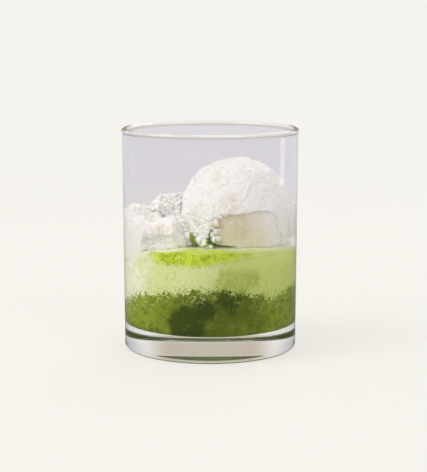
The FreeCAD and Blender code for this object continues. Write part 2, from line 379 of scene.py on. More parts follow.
class DrinkRecipe(Patterns):
    """Mixes the paints of the drink's layers by place."""

    def __init__(self, wire: Wiring, place: Socket, effects: Effects) -> None:
        """Adds the paints and the place's parts to the patterns.

        Args:
            wire: Wiring of the group under way.
            place: The place on the piece.
            effects: The shared effects.
        """
        super().__init__(wire, place, effects)
        self.paint = Palette()
        parts = wire.add("SeparateXYZ", {0: place})
        self.across, self.back = parts.outputs["X"], parts.outputs["Y"]

    def wander(self, amount: float) -> Socket:
        """The place across, swaying by an amount in metres."""
        sway = self.wire.sway(self.clouds(55, 0.2, 0.8), amount)
        return self.wire.calc("ADD", self.across, sway)

    def tea(self) -> Socket:
        """Cloudy tea: a painted dark reflection left of the middle, mossy right, leafy and
        streaked left.
        """
        span, paint = self.wire.span, self.paint
        across = self.wander(16 * MM)
        return self.wire.coats(paint.tea, (
            (self.clouds(110, 0.42, 0.62), paint.moss),
            (span(across, -12 * MM, -22 * MM, 0.85), paint.leaf),
            (span(across, 17 * MM, 28 * MM, 0.65), paint.leaf),
            (self.clouds(330, 0.5, 0.62, 0.6), paint.tea),
            (self.specks(900, 0.34, 240, 0.35), paint.leaf),
            # Painted dark reflection: a dark column near the front of the glass.
            (self._painted_dark_reflection(), paint.dark_tea_and_reflection),
            (self.clouds(650, 0.52, 0.7, 0.4), paint.moss),
            (self.clouds(1500, 0.5, 0.7, 0.5), paint.dark_tea_and_reflection)))

    def _painted_dark_reflection(self) -> Socket:
        """Share of the painted dark reflection: a column near the front with a patch on each
        side.
        """
        wire = self.wire
        column = wire.near(self.place, (-10.5 * MM, -38 * MM, 18 * MM), 4 * MM, 14 * MM)
        upper = wire.near(self.place, (9 * MM, -37 * MM, 30 * MM), 3 * MM, 12 * MM)
        lower = wire.near(self.place, (-3.0 * MM, -38 * MM, 25 * MM), 2 * MM, 9 * MM)
        dark = wire.calc("MAXIMUM", column, wire.times(upper, 0.7))
        dark = wire.calc("MAXIMUM", dark, wire.times(lower, 0.8))
        uneven = wire.calc("SUBTRACT", wire.times(dark, 1.9), self.clouds(190, 0.3, 0.7, 0.9))
        return wire.span(uneven, -0.1, 1.1, 0.95)

    def cream(self, top: Socket) -> Socket:
        """Tea and melted ice cream: creamy left, greener right, milder under the froth."""
        span, paint = self.wire.span, self.paint
        across = self.wander(30 * MM)
        under_froth = self.wire.times(span(top, -9.0, -2.0),
                                      span(self.across, 4 * MM, 14 * MM, 0.9))
        return self.wire.coats(paint.pale, (
            (span(across, -18 * MM, -33 * MM), paint.creamy),
            (span(across, -7 * MM, 12 * MM, 0.9), paint.green),
            (span(across, 13 * MM, 26 * MM, 0.8), paint.mild),
            (under_froth, paint.mild),
            (self.clouds(230, 0.46, 0.62, 0.35), paint.mild),
            (self.clouds(480, 0.55, 0.7, 0.3), paint.green),
            (self.clouds(1400, 0.52, 0.7, 0.3), paint.green),
            (self.specks(1000, 0.30, 200, 0.4), paint.moss)))

    def foam(self, pool: Socket, rich: Socket, cream: Socket) -> Socket:
        """Foam: bright and dotted with painted shade in its pits where it gathers, else like the
        cream under it.

        Args:
            pool: The froth's depth in millimetres.
            rich: How far the ice cream is, in millimetres.
            cream: Colour of the cream.

        Returns:
            The colour.
        """
        wire, paint = self.wire, self.paint
        bubble = wire.near(self.place, (16.5 * MM, -34.7 * MM, 48.6 * MM), 0.5 * MM, 1.5 * MM)
        bright = wire.coats(paint.bright, (
            (self.clouds(150, 0.42, 0.6), paint.lime),
            # Dark dots: painted shade in the froth's bubble pits.
            (self.specks(1400, 0.42, 300, 0.9), paint.pit),
            (bubble, paint.moss)))
        sway = wire.sway(self.clouds(200, 0.2, 0.8), 1.6)
        gathered = wire.span(wire.calc("ADD", pool, sway), 1.9, 3.3)
        behind = wire.times(self.clouds(70, 0.5, 0.6, 0.8),
                            wire.span(self.back, 4 * MM, 18 * MM))
        thin = wire.blend(self.clouds(160, 0.3, 0.6, 0.7), cream, paint.mild.linear)
        colour = wire.blend(wire.calc("MAXIMUM", gathered, behind), thin, bright)
        # Near the ice cream the foam turns pale like melted ice cream; this pale edge is also a
        # painted highlight along the froth's top.
        near = wire.calc("ADD", rich, wire.times(sway, 1.2))
        return wire.blend(wire.span(near, 7.5, 2.4, 0.95), colour, paint.melt_and_highlight.linear)


class Finish(Patterns):
    """One material under way: its wiring, its shader and the place on the piece."""

    def __init__(self, name: str, effects: Effects) -> None:
        """Starts a material on a Principled shader.

        Args:
            name: The material's name.
            effects: The shared effects.
        """
        self.material = bpy.data.materials.new(name)
        self.material.use_nodes = True
        wire = Wiring(self.material.node_tree)
        super().__init__(wire, wire.add("TexCoord").outputs["Object"], effects)
        nodes = self.material.node_tree.nodes
        self.shader = nodes["Principled BSDF"]
        self.output = nodes["Material Output"]

    def set(self, **values: Feed) -> None:
        """Sets or links the shader's inputs, with _ for a space in a name."""
        for name, value in values.items():
            self.wire.feed(self.shader, name.replace("_", " "), value)

    def roughen(self, scale: float, pits: float, depth: float) -> None:
        """Gives the shader a fine bump.

        Args:
            scale: Grains in a metre.
            pits: How far the round pits outdo the grain.
            depth: Height of the bump in metres.
        """
        height = self.wire.use(self.effects.pores, {
            "Place": self.place, "Scale": scale, "Pits": pits})
        bump = self.wire.add("Bump", {"Height": height, "Distance": depth, "Strength": 1.0})
        self.set(Normal=bump.outputs[0])


@dataclass(frozen=True)
class ClearGlass:
    """Fire-polished soda-lime glass with a faint lilac cast."""

    name: str = "clear_glass"
    cast: Tint = Tint(247, 246, 247)
    ior: float = 1.5

    def make(self, effects: Effects) -> bpy.types.Material:
        """Builds the material, which lets lamps light what stands in the glass."""
        finish = Finish(self.name, effects)
        finish.set(Base_Color=self.cast.linear, Roughness=0.0, IOR=self.ior,
                   Transmission_Weight=1.0)
        wire = finish.wire
        path = wire.add("LightPath")
        through = wire.add("BsdfTransparent", {0: self.cast.linear})
        mixed = wire.add("MixShader", {0: path.outputs["Is Shadow Ray"],
                                       1: finish.shader.outputs[0], 2: through.outputs[0]})
        wire.feed(finish.output, "Surface", mixed.outputs[0])
        return finish.material


@dataclass(frozen=True)
class LayeredDrink:
    """One layer of the drink; all share one recipe, so that they run into each other."""

    name: str
    roughness: float = 0.45
    specular: float = 0.1
    grain: float = 0.0

    def make(self, effects: Effects) -> bpy.types.Material:
        """Builds the material."""
        finish = Finish(self.name, effects)
        wire = finish.wire
        colour = wire.use(effects.drink, {
            "Place": finish.place, "Edge": wire.trait(Trait.EDGE),
            "Top": wire.trait(Trait.TOP), "Pool": wire.trait(Trait.POOL),
            "Rich": wire.trait(Trait.RICH)})
        finish.set(Base_Color=colour, Roughness=self.roughness,
                   Specular_IOR_Level=self.specular)
        if self.grain:
            finish.roughen(1500, 0.6, self.grain)
        return finish.material


@dataclass(frozen=True)
class ScrapedIceCream:
    """Vanilla ice cream: icy and off-white, with painted warm shade in its hollows and grooves,
    stained green at its foot.
    """

    name: str = "ice_cream"
    milk: Tint = Tint(248, 247, 241)
    frost: Tint = Tint(238, 235, 225)
    soft: Tint = Tint(246, 248, 226)
    # Painted shade: for hollows and grooves, and for small dark dots.
    shade: Tint = Tint(222, 208, 186)
    # Warm beige of the bare melted core, darkened as painted shade of the recess under the lip.
    custard_recess_shade: Tint = Tint(240, 232, 214)
    toffee_and_recess_shade: Tint = Tint(212, 186, 148)
    stain: Tint = Tint(150, 176, 44)
    darkest_green: Tint = Tint(52, 74, 6)
    # Brown spots (x, y, z, inner, outer) in millimetres: warm stains, and painted recess shade
    # at the front under the lip.
    spots: tuple[tuple[float, float, float, float, float], ...] = (
        (13.0, -26.0, 60.5, 3.0, 8.5), (-23.4, -22.5, 58.8, 1.0, 5.0),
        (-5.7, -20.0, 61.8, 0.6, 2.8), (8.0, -26.0, 67.0, 0.5, 3.6),
        (9.0, -26.0, 73.5, 0.0, 6.5), (4.0, -26.0, 62.0, 1.0, 4.5),
    )

    def make(self, effects: Effects) -> bpy.types.Material:
        """Builds the material."""
        finish = Finish(self.name, effects)
        wire = finish.wire
        height = wire.calc("ADD", wire.add("SeparateXYZ", {0: finish.place}).outputs["Z"],
                           finish.clouds(300, 0.3, 0.7, 5 * MM))
        soak = wire.calc("ADD", wire.trait(Trait.SOAK),
                         wire.sway(finish.clouds(500, 0.2, 0.8), 0.35))
        colour = wire.coats(self.milk, (
            # Bare core under the lip: melted tone and painted recess shade.
            (wire.span(wire.trait(Trait.CORE), 0.1, 0.9), self.custard_recess_shade),
            # Painted shade in the hollows, read from the relief heights.
            (wire.span(wire.trait(Trait.RELIEF), -0.4, -1.9, 0.45), self.shade),
            (finish.clouds(650, 0.42, 0.60, 0.40), self.frost),
            # Small dots of painted shade.
            (finish.specks(700, 0.34, 160, 0.4), self.shade),
            (wire.span(height, 56 * MM, 48 * MM, 0.7), self.soft),
            # Brown: warm stains, and painted shade of the recess under the lip.
            (self._warmth(finish), self.toffee_and_recess_shade),
            (wire.span(soak, 0.30, 0.66), self.stain),
            # Darkest green where the streaks are strongest, as in the dark line under the
            # scoop's lobe.
            (wire.span(soak, 0.85, 1.15), self.darkest_green)))
        finish.set(Base_Color=colour, Roughness=0.5, Specular_IOR_Level=0.4,
                   Subsurface_Weight=0.6, Subsurface_Scale=1.3 * MM)
        finish.shader.inputs["Subsurface Radius"].default_value = (1.0, 0.85, 0.6)
        finish.roughen(900, 0.4, 0.20 * MM)
        return finish.material

    def _warmth(self, finish: Finish) -> Socket:
        """Share of the brown paint, in drifts and at the spots; the spots under the lip are
        painted recess shade.

        Args:
            finish: The material under way.

        Returns:
            The share.
        """
        wire = finish.wire
        warm = finish.clouds(95, 0.60, 0.74, 0.30)
        for *spot, inner, outer in self.spots:
            place = tuple(value * MM for value in spot)
            patch = wire.near(finish.place, place, inner * MM, outer * MM)
            frayed = wire.times(patch, finish.clouds(420, 0.25, 0.6))
            warm = wire.calc("MAXIMUM", warm, wire.times(frayed, 0.5))
        return warm


# ------------------------------------------------------------------ making of meshes


def arc(centre: tuple[float, float], radius: float, start: float, end: float,
        steps: int) -> list[Vector]:
    """Points of an arc in the section plane.

    Args:
        centre: Radius and height of the arc's centre.
        radius: Radius of the arc.
        start: First angle in degrees, counted from outwards to up.
        end: Last angle in degrees.
        steps: Number of chords.

    Returns:
        The points, both ends among them.
    """
    turns = (math.radians(start + (end - start) * i / steps) for i in range(steps + 1))
    return [Vector((centre[0] + radius * math.cos(t), 0.0, centre[1] + radius * math.sin(t)))
            for t in turns]


def run(start: Vector, end: Vector, steps: int, hold: float) -> list[Vector]:
    """Points between two ends, closer there so that the shading stays true.

    Args:
        start: First end, which isn't among the points.
        end: Last end, which isn't either.
        steps: Number of even chords between the held ends.
        hold: Distance of the first and the last point from their ends.

    Returns:
        The points.
    """
    ease = hold / (end - start).length
    shares = [ease / 4, *(ease + (1 - 2 * ease) * i / steps for i in range(steps + 1)),
              1 - ease / 4]
    return [start.lerp(end, share) for share in shares]


def joined(parts: list[list[Vector]], steps: int, hold: float) -> list[Vector]:
    """Arcs and points in their order, with held runs between them."""
    line = list(parts[0])
    for part in parts[1:]:
        line += run(line[-1], part[0], steps, hold) + part
    return line


def new_piece(name: str, bm: bmesh.types.BMesh) -> bpy.types.Object:
    """Turns a bmesh into a smooth object at the origin and frees it."""
    mesh = bpy.data.meshes.new(name)
    for face in bm.faces:
        face.smooth = True
    bm.to_mesh(mesh)
    bm.free()
    piece = bpy.data.objects.new(name, mesh)
    bpy.context.scene.collection.objects.link(piece)
    return piece


def merged(source: bpy.types.Object) -> bmesh.types.BMesh:
    """A copy of a mesh with its loose triangles joined."""
    bm = bmesh.new()
    bm.from_mesh(source.data)
    bmesh.ops.remove_doubles(bm, verts=bm.verts, dist=SAME)
    return bm


def even_copy(source: bpy.types.Object, name: str, grain: float) -> bmesh.types.BMesh:
    """A closed copy of a solid in small even faces.

    Args:
        source: The solid's object.
        name: Name for the passing object.
        grain: Width of a face in metres.

    Returns:
        The copy, which the caller shapes further.
    """
    rough = new_piece(name, merged(source))
    remesh = rough.modifiers.new("even", "REMESH")
    remesh.mode = "VOXEL"
    remesh.voxel_size = grain
    graph = bpy.context.evaluated_depsgraph_get()
    smooth = bpy.data.meshes.new_from_object(rough.evaluated_get(graph))
    bm = bmesh.new()
    bm.from_mesh(smooth)
    bpy.data.objects.remove(rough)
    bpy.data.meshes.remove(smooth)
    return bm


def keep_trait(piece: bpy.types.Object, which: Trait, values: list[float]) -> None:
    """Keeps a number on each point of a piece for its material."""
    kept = piece.data.attributes.new(which.value, "FLOAT", "POINT")
    kept.data.foreach_set("value", values)


def dress(piece: bpy.types.Object, material: bpy.types.Material, solid: Solid | None,
          slot: str) -> None:
    """Gives a piece its finish and its place in the frame.

    Args:
        piece: The finished piece.
        material: Its material.
        solid: The frame's solid that it stands for, if any.
        slot: The record's material slot, which is not used.
    """
    piece.data.materials.clear()
    piece.data.materials.append(material)
    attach(piece, BODY)
    if solid:
        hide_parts(solid.value)
    LOG.info("%s: %d points, %d faces", piece.name, len(piece.data.vertices),
             len(piece.data.polygons))


# ------------------------------------------------------------------ the tumbler


@dataclass
class Tumbler:
    """Straight heavy-based glass, turned from its section."""

    height: float
    rim_radius: float
    foot_radius: float = 40.9 * MM
    top_radius: float = 41.6 * MM
    wall: float = 2.0 * MM
    bead: float = 1.35 * MM
    heel: float = 2.2 * MM
    floor: float = 12.5 * MM
    corner: float = 3.5 * MM
    punt_radius: float = 34.0 * MM
    punt_depth: float = 0.8 * MM
    segments: int = 180
    run_steps: int = 12
    round_steps: int = 24
    corner_steps: int = 12
    hold: float = 0.8 * MM

    def outer(self, height: float) -> float:
        """Outside radius of the wall."""
        return self.foot_radius + (self.top_radius - self.foot_radius) * height / self.height

    def inner(self, height: float) -> float:
        """Inside radius of the wall."""
        return self.outer(height) - self.wall

    def section(self) -> list[Vector]:
        """Half of the glass's section, from under the centre round to the floor's centre."""
        dome = (self.punt_radius ** 2 + self.punt_depth ** 2) / (2 * self.punt_depth)
        tilt = math.degrees(math.asin(self.punt_radius / dome))
        neck = math.degrees(math.asin(self.wall / 2 / self.bead))
        ring = (self.rim_radius - self.bead, self.height - self.bead)
        return joined([
            arc((0.0, self.punt_depth - dome), dome, 90, 90 - tilt, self.round_steps),
            arc((self.outer(0) - self.heel, self.heel), self.heel, -90, 0,
                self.corner_steps),
            arc(ring, self.bead, neck - 90, 270 - neck, self.round_steps),
            arc((self.inner(self.floor) - self.corner, self.floor + self.corner),
                self.corner, 0, -90, self.corner_steps),
            [Vector((0.0, 0.0, self.floor))],
        ], self.run_steps, self.hold)

    def build(self, name: str) -> bpy.types.Object:
        """Spins the section into a closed glass.

        Args:
            name: The piece's name.

        Returns:
            The glass.
        """
        bm = bmesh.new()
        points = [bm.verts.new(point) for point in self.section()]
        lines = [bm.edges.new(pair) for pair in zip(points, points[1:])]
        bmesh.ops.spin(bm, geom=points + lines, cent=(0, 0, 0), axis=(0, 0, 1),
                       angle=math.tau, steps=self.segments, use_merge=True)
        bmesh.ops.remove_doubles(bm, verts=bm.verts, dist=SAME)
        bmesh.ops.recalc_face_normals(bm, faces=bm.faces)
        return new_piece(name, bm)

    def gap(self, point: Vector) -> tuple[float, Vector]:
        """Measures a point against the inside of the glass.

        Args:
            point: The point.

        Returns:
            How far it is from the glass, and the way straight into it.
        """
        out = Vector((point.x, point.y, 0.0))
        reach = out.length
        out = out / max(reach, SAME)
        if point.z > self.floor + self.corner:
            return self.inner(point.z) - reach, out
        turn = self.inner(self.floor) - self.corner
        if reach < turn:
            return point.z - self.floor, DOWN
        into = out * (reach - turn) + DOWN * (self.floor + self.corner - point.z)
        return self.corner - into.length, into.normalized()

    def sink(self, bm: bmesh.types.BMesh, near: float, depth: float) -> list[float]:
        """Sets the points that touch the glass a little way into it, so that no air shows.

        Args:
            bm: The mesh of what stands in the glass.
            near: Distance from the glass within which a point counts as touching.
            depth: How far into the glass such a point goes.

        Returns:
            For each point 1 where it touches and 0 elsewhere.
        """
        touching = []
        for vert in bm.verts:
            space, into = self.gap(vert.co)
            touches = space < near
            if touches:
                vert.co += into * (space + depth)
            touching.append(float(touches))
        return touching


# ------------------------------------------------------------------ the drink


@dataclass
class Layers:
    """Matcha, the pale layer and the froth, from the base up."""

    nodes: dict[str, bpy.types.Object]
    tumbler: Tumbler
    grain: float = 0.62 * MM
    froth_grain: float = 0.5 * MM
    touch: float = 0.62 * MM
    depths: tuple[float, float, float] = (0.36 * MM, 0.26 * MM, 0.29 * MM)
    hang: float = 0.7 * MM
    seam: float = 0.9
    sky: float = 0.2
    drawn_in: float = 0.985
    no_froth: tuple[float, float] = (3 * MM, 4 * MM)

    def __post_init__(self) -> None:
        """Keeps the surfaces that the layers are measured from."""
        self.level = BVHTree.FromBMesh(merged(self.nodes[Solid.MATCHA.value]))
        self.foam = BVHTree.FromBMesh(merged(self.nodes[Solid.FROTH.value]))
        self.ices = [BVHTree.FromBMesh(merged(self.nodes[s.value]))
                     for s in (Solid.SCOOP, Solid.BROKEN)]

    def matcha_top(self, point: Vector) -> float:
        """Height at which the dark matcha ends, above or below a point."""
        hit = self.level.ray_cast(self._inside(point, self.sky), DOWN)[0]
        return hit.z if hit else point.z

    def froth_span(self, point: Vector) -> tuple[float, float]:
        """Heights of the froth's underside and top over or under a point.

        Args:
            point: The place.

        Returns:
            Both heights, which lie just over the place where there is no froth.
        """
        low = self.foam.ray_cast(self._inside(point, self.tumbler.floor), UP)[0]
        high = self.foam.ray_cast(self._inside(point, self.sky), DOWN)[0]
        if low is None or high is None:
            low, high = self.no_froth
            return point.z + low, point.z + high
        return low.z, high.z

    def _inside(self, point: Vector, height: float) -> Vector:
        """A point at some height over or under a place, drawn in from the wall."""
        inside = Vector((point.x, point.y, 0.0))
        limit = self.drawn_in * self.tumbler.inner(point.z)
        if inside.length > limit:
            inside *= limit / inside.length
        return inside + UP * height

    def build(self, effects: Effects) -> None:
        """Makes and dresses the three layers."""
        dark, pale, foam = self.depths
        plans = (
            (Solid.MATCHA, "matcha", self.grain, dark, LayeredDrink("dark_matcha")),
            (Solid.CREAM, "matcha_cream", self.grain, pale, LayeredDrink("pale_cream")),
            (Solid.FROTH, "froth", self.froth_grain, foam,
             LayeredDrink("green_froth", 0.4, 0.35, 0.12 * MM)),
        )
        drops = {Solid.CREAM: self._into_matcha, Solid.FROTH: self._into_cream}
        for solid, slot, grain, depth, finish in plans:
            drop = drops.get(solid, lambda place: 0.0)
            piece = self._layer(solid, grain, depth, drop)
            self._keep_heights(piece)
            dress(piece, finish.make(effects), solid, slot)

    def _into_matcha(self, place: Vector) -> float:
        """How far the cream's underside hangs into the matcha, so that no seam opens."""
        return self.hang if place.z - self.matcha_top(place) < self.seam * self.grain else 0.0

    def _into_cream(self, place: Vector) -> float:
        """How far the froth's underside hangs into the cream."""
        low = self.froth_span(place)[0]
        return self.hang if place.z - low < self.seam * self.froth_grain else 0.0

    def _into_ice(self, bm: bmesh.types.BMesh) -> None:
        """Draws the layer's sides that lie against ice cream a little into it."""
        for vert in bm.verts:
            for tree in self.ices:
                _, normal, _, away = tree.find_nearest(vert.co)
                if away < self.touch:
                    vert.co -= normal * self.hang

    def _layer(self, solid: Solid, grain: float, depth: float,
               drop: Callable[[Vector], float]) -> bpy.types.Object:
        """Makes one layer from its solid.

        Args:
            solid: The frame's solid.
            grain: Width of a face.
            depth: How far it is sunk into the glass.
            drop: How far each point is lowered first.

        Returns:
            The layer.
        """
        bm = even_copy(self.nodes[solid.value], solid.value + "_rough", grain)
        for vert in bm.verts:
            vert.co.z -= drop(vert.co)
        self._into_ice(bm)
        self.tumbler.sink(bm, self.touch, depth)
        return new_piece(solid.value + "_layer", bm)

    def _keep_heights(self, piece: bpy.types.Object) -> None:
        """Keeps each point's heights over both levels, the froth's depth and its ice cream."""
        points = [vert.co for vert in piece.data.vertices]
        spans = [self.froth_span(point) for point in points]
        keep_trait(piece, Trait.EDGE, [(p.z - self.matcha_top(p)) / MM for p in points])
        keep_trait(piece, Trait.TOP, [(p.z - low) / MM for p, (low, _) in zip(points, spans)])
        keep_trait(piece, Trait.POOL, [(high - low) / MM for low, high in spans])
        keep_trait(piece, Trait.RICH, [
            min(tree.find_nearest(point)[3] for tree in self.ices) / MM for point in points])


# ------------------------------------------------------------------ the ice cream


@dataclass(frozen=True)
class Scrape:
    """How rough a piece of ice cream is, in millimetres: heights first, then widths."""

    swell: float
    crumb: float
    fuzz: float
    pits: float
    drag: float = 0.0
    torn: tuple[tuple[float, float, float, float], ...] = ()
    swell_width: float = 5.5
    crumb_width: float = 3.4
    fuzz_width: float = 1.3
    pit_width: float = 1.9
    drift_width: float = 9.0
    line_length: float = 7.0
    line_width: float = 0.9

    def height(self, place: Vector) -> float:
        """How far the surface stands out at a place given in millimetres.

        Args:
            place: The place.

        Returns:
            The height in millimetres.
        """
        tear = sum(math.exp(-(place - Vector(spot[:3])).length_squared / spot[3] ** 2)
                   for spot in self.torn)
        swell = noise.fractal(place / self.swell_width, 0.9, 2.0, 3) * self.swell
        crumb = noise.ridged_multi_fractal(place / self.crumb_width, 0.8, 2.1, 3, 0.7, 1.8)
        crumb -= 1.1
        fuzz = noise.fractal(place / self.fuzz_width, 0.7, 2.1, 3)
        pores = noise.voronoi(place / self.pit_width)[0][0]
        drift = max(0.0, noise.noise(place / self.drift_width) + 0.25)
        pit = max(0.0, 0.33 - pores) * 3.0 * drift
        lines = noise.noise(Vector((place.x / self.line_length, place.y / self.line_length,
                                    place.z / self.line_width)))
        return (swell + tear * 0.5 + crumb * (self.crumb + 0.35 * tear)
                + fuzz * (self.fuzz + 0.3 * tear) - pit * self.pits + lines * self.drag)


@dataclass(frozen=True)
class Streak:
    """A run of matcha on the ice cream's front, from one (x, z) to another in millimetres."""

    start: tuple[float, float]
    end: tuple[float, float]
    width: float
    strength: float

    def share(self, place: Vector) -> float:
        """How strongly it stains a place given in millimetres."""
        flat = Vector((place.x, place.z))
        start, end = Vector(self.start), Vector(self.end)
        run = end - start
        along = min(1.0, max(0.0, (flat - start).dot(run) / run.length_squared))
        width = self.width * (1.0 - 0.65 * along)
        away = (flat - start - run * along).length
        return self.strength * math.exp(-(away / width) ** 2)


@dataclass(frozen=True)
class Ball:
    """The round scoop's ball, which its torn skin falls short of at the front and the back."""

    centre: Vector
    radius: float
    skin: float
    tears: tuple[tuple[float, float], ...] = ((-128.0, -22.0), (44.0, 142.0))
    top: float = 6.0 * MM
    lip: tuple[float, float] = (0.15, 0.5)
    dents: tuple[float, float] = (-1.2, 0.3)
    proud: float = 0.2

    def bare(self, place: Vector) -> float:
        """1 where the melted core shows and 0 on the skin."""
        away = place - self.centre
        bearing = math.degrees(math.atan2(away.y, away.x))
        torn = any(start < bearing < end for start, end in self.tears)
        if not torn or away.z > self.top:
            return 0.0
        depth = self.radius - away.length
        start, ease = self.lip
        return min(1.0, max(0.0, (depth / self.skin - start) / ease))

    def dent(self, place: Vector) -> float:
        """How far a place on the skin stands out of the ball, in millimetres, or 0 below."""
        away = place - self.centre
        if self.bare(place) or away.z < -self.radius / 2:
            return 0.0
        deepest, highest = self.dents
        return max(deepest, min(highest, (away.length - self.radius) / MM + self.proud))


@dataclass
class IceCream:
    """The round scoop, the broken scoop, the curl, and the crumbs where they meet."""

    nodes: dict[str, bpy.types.Object]
    tumbler: Tumbler
    ball_radius: float = 27.2 * MM
    skin: float = 2.1 * MM
    touch: float = 0.9 * MM
    depth: float = 0.22 * MM
    flattened: float = 2.2 * MM
    calm_core: float = 0.7
    froth_reach: float = 1.1
    froth_stain: float = 0.42
    seed: int = 11
    crumb_radii: tuple[float, float] = (0.8 * MM, 2.0 * MM)
    crumb_gap: float = 1.7 * MM
    groove: tuple[float, float] = (0.5 * MM, 2.4 * MM)
    lift: float = 0.25 * MM
    loose: tuple[tuple[float, float, float], ...] = (
        (-7.0, -19.5, 57.0), (-4.5, -22.0, 55.0), (-2.0, -24.0, 53.5), (-1.5, -22.5, 57.0),
        (-9.5, -16.5, 61.0), (-11.0, -13.5, 65.0), (1.5, -25.0, 55.5), (0.5, -24.5, 52.5),
        (0.5, -24.4, 65.5), (2.2, -25.2, 63.5), (1.0, -24.6, 61.0), (3.0, -25.2, 59.5),
        (1.2, -24.0, 57.5), (3.4, -24.0, 56.0), (4.0, -25.7, 66.8),
        (7.0, -26.4, 67.6), (-23.5, -5.0, 72.4), (-21.0, -6.0, 73.2), (-25.5, -4.0, 70.0),
    )
    torn: tuple[tuple[float, float, float, float], ...] = (
        (-6.0, -17.0, 58.0, 8.0), (-11.0, -8.0, 70.0, 4.5), (-2.0, -22.0, 53.5, 5.0),
        (6.8, -15.0, 85.0, 2.4), (4.5, -21.0, 80.1, 2.2), (3.1, -24.5, 73.6, 2.4),
        (-7.5, -6.0, 82.5, 4.0), (-10.0, -6.0, 79.0, 4.0), (1.0, -24.0, 66.0, 3.5),
    )
    streaks: tuple[Streak, ...] = (
        Streak((-6.4, 50.2), (-9.0, 57.2), 2.5, 0.85),
        Streak((-5.8, 50.6), (-7.4, 54.2), 0.9, 1.3),
        Streak((-1.0, 54.4), (3.6, 51.8), 1.2, 1.15),
        Streak((2.0, 52.0), (12.0, 51.6), 0.8, 1.3),
        Streak((-3.0, 52.2), (1.0, 53.6), 1.0, 0.7),
    )

    def __post_init__(self) -> None:
        """Keeps the surface of the froth, which stains the ice cream's foot."""
        self.froth = BVHTree.FromBMesh(merged(self.nodes[Solid.FROTH.value]))
        low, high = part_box(Solid.SCOOP.value)
        centre = Vector((high.x - self.ball_radius, (low.y + high.y) / 2,
                         high.z - self.ball_radius))
        self.ball = Ball(centre, self.ball_radius, self.skin)

    def build(self, effects: Effects) -> None:
        """Makes and dresses the three pieces and the crumbs."""
        finish = ScrapedIceCream().make(effects)
        plans = {
            Solid.SCOOP: (0.38 * MM, Scrape(0.25, 0.36, 0.30, 0.9, 0.08, self.torn)),
            Solid.BROKEN: (0.29 * MM, Scrape(0.8, 0.55, 0.48, 0.6)),
            Solid.CURL: (0.19 * MM, Scrape(1.5, 0.42, 0.38, 0.3)),
        }
        for solid, (grain, scrape) in plans.items():
            piece = self._piece(solid, grain, scrape)
            dress(piece, finish, solid, "ice_cream")
        dress(self._crumbs(), finish, None, "ice_cream")

    def _crumbs(self) -> bpy.types.Object:
        """Makes crumbs along the seams between the pieces, and some at listed places."""
        draw = random.Random(self.seed)
        bm = bmesh.new()
        for spot in self._seam_spots(draw) + [Vector(v) * MM for v in self.loose]:
            self._crumb(bm, spot, draw.uniform(*self.crumb_radii), draw)
        piece = new_piece("ice_cream_crumbs", bm)
        points = [vert.co for vert in piece.data.vertices]
        keep_trait(piece, Trait.RELIEF, [0.0] * len(points))
        keep_trait(piece, Trait.SOAK, [self._soak(point) for point in points])
        keep_trait(piece, Trait.CORE, [0.0] * len(points))
        return piece

    def _seam_spots(self, draw: random.Random) -> list[Vector]:
        """Finds spots in the open grooves where two pieces lie against each other."""
        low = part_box(Solid.FROTH.value)[1].z
        pairs = ((Solid.BROKEN, Solid.SCOOP), (Solid.CURL, Solid.SCOOP),
                 (Solid.CURL, Solid.BROKEN))
        spots: list[Vector] = []
        for first, second in pairs:
            tree = BVHTree.FromBMesh(merged(self.nodes[second.value]))
            bm = merged(self.nodes[first.value])
            bmesh.ops.subdivide_edges(bm, edges=bm.edges, cuts=1, use_grid_fill=True)
            bm.normal_update()
            found = []
            for vert in bm.verts:
                near, normal, _, away = tree.find_nearest(vert.co)
                if vert.co.z > low and self.groove[0] < away < self.groove[1]:
                    found.append((vert.co + near) / 2 + (vert.normal + normal) * self.lift)
            bm.free()
            draw.shuffle(found)
            for spot in found:
                if all((spot - other).length > self.crumb_gap for other in spots):
                    spots.append(spot)
        return spots

    def _crumb(self, bm: bmesh.types.BMesh, spot: Vector, radius: float,
               draw: random.Random) -> None:
        """Adds one ragged crumb.

        Args:
            bm: The mesh that gets it.
            spot: Its middle.
            radius: Its rough radius.
            draw: Source of its uneven shape.
        """
        made = bmesh.ops.create_icosphere(bm, subdivisions=4, radius=radius)
        turn = Vector((draw.uniform(-50, 50), draw.uniform(-50, 50), draw.uniform(-50, 50)))
        stretch = Vector((draw.uniform(0.8, 1.25), draw.uniform(0.8, 1.25),
                          draw.uniform(0.75, 1.1)))
        for vert in made["verts"]:
            place = vert.co / MM + turn
            swell = 1 + 0.42 * noise.fractal(place / 1.7, 0.8, 2.0, 4)
            vert.co = spot + Vector(a * b for a, b in zip(vert.co * swell, stretch))

    def _piece(self, solid: Solid, grain: float, scrape: Scrape) -> bpy.types.Object:
        """Makes one piece from its solid.

        Args:
            solid: The frame's solid.
            grain: Width of a face.
            scrape: How rough it is.

        Returns:
            The piece, with the numbers that its material reads.
        """
        bm = even_copy(self.nodes[solid.value], solid.value + "_rough", grain)
        bm.normal_update()
        heights = [scrape.height(v.co / MM) * self._loose(v.co) for v in bm.verts]
        ways = [v.normal.copy() for v in bm.verts]
        places = [v.co.copy() for v in bm.verts]
        soaks = [self._soak(v.co) for v in bm.verts]
        bare = [self.ball.bare(v.co) if solid is Solid.SCOOP else 0.0 for v in bm.verts]
        for vert, way, height, core in zip(bm.verts, ways, heights, bare):
            vert.co += way * height * MM * (1 - self.calm_core * core)
        self.tumbler.sink(bm, self.touch, self.depth)
        piece = new_piece(solid.value + "_scraped", bm)
        # The skin's dents join the heights, so that its grooves get painted shade too.
        if solid is Solid.SCOOP:
            heights = [height + self.ball.dent(place) for height, place in zip(heights, places)]
        keep_trait(piece, Trait.RELIEF, heights)
        keep_trait(piece, Trait.SOAK, soaks)
        keep_trait(piece, Trait.CORE, bare)
        return piece

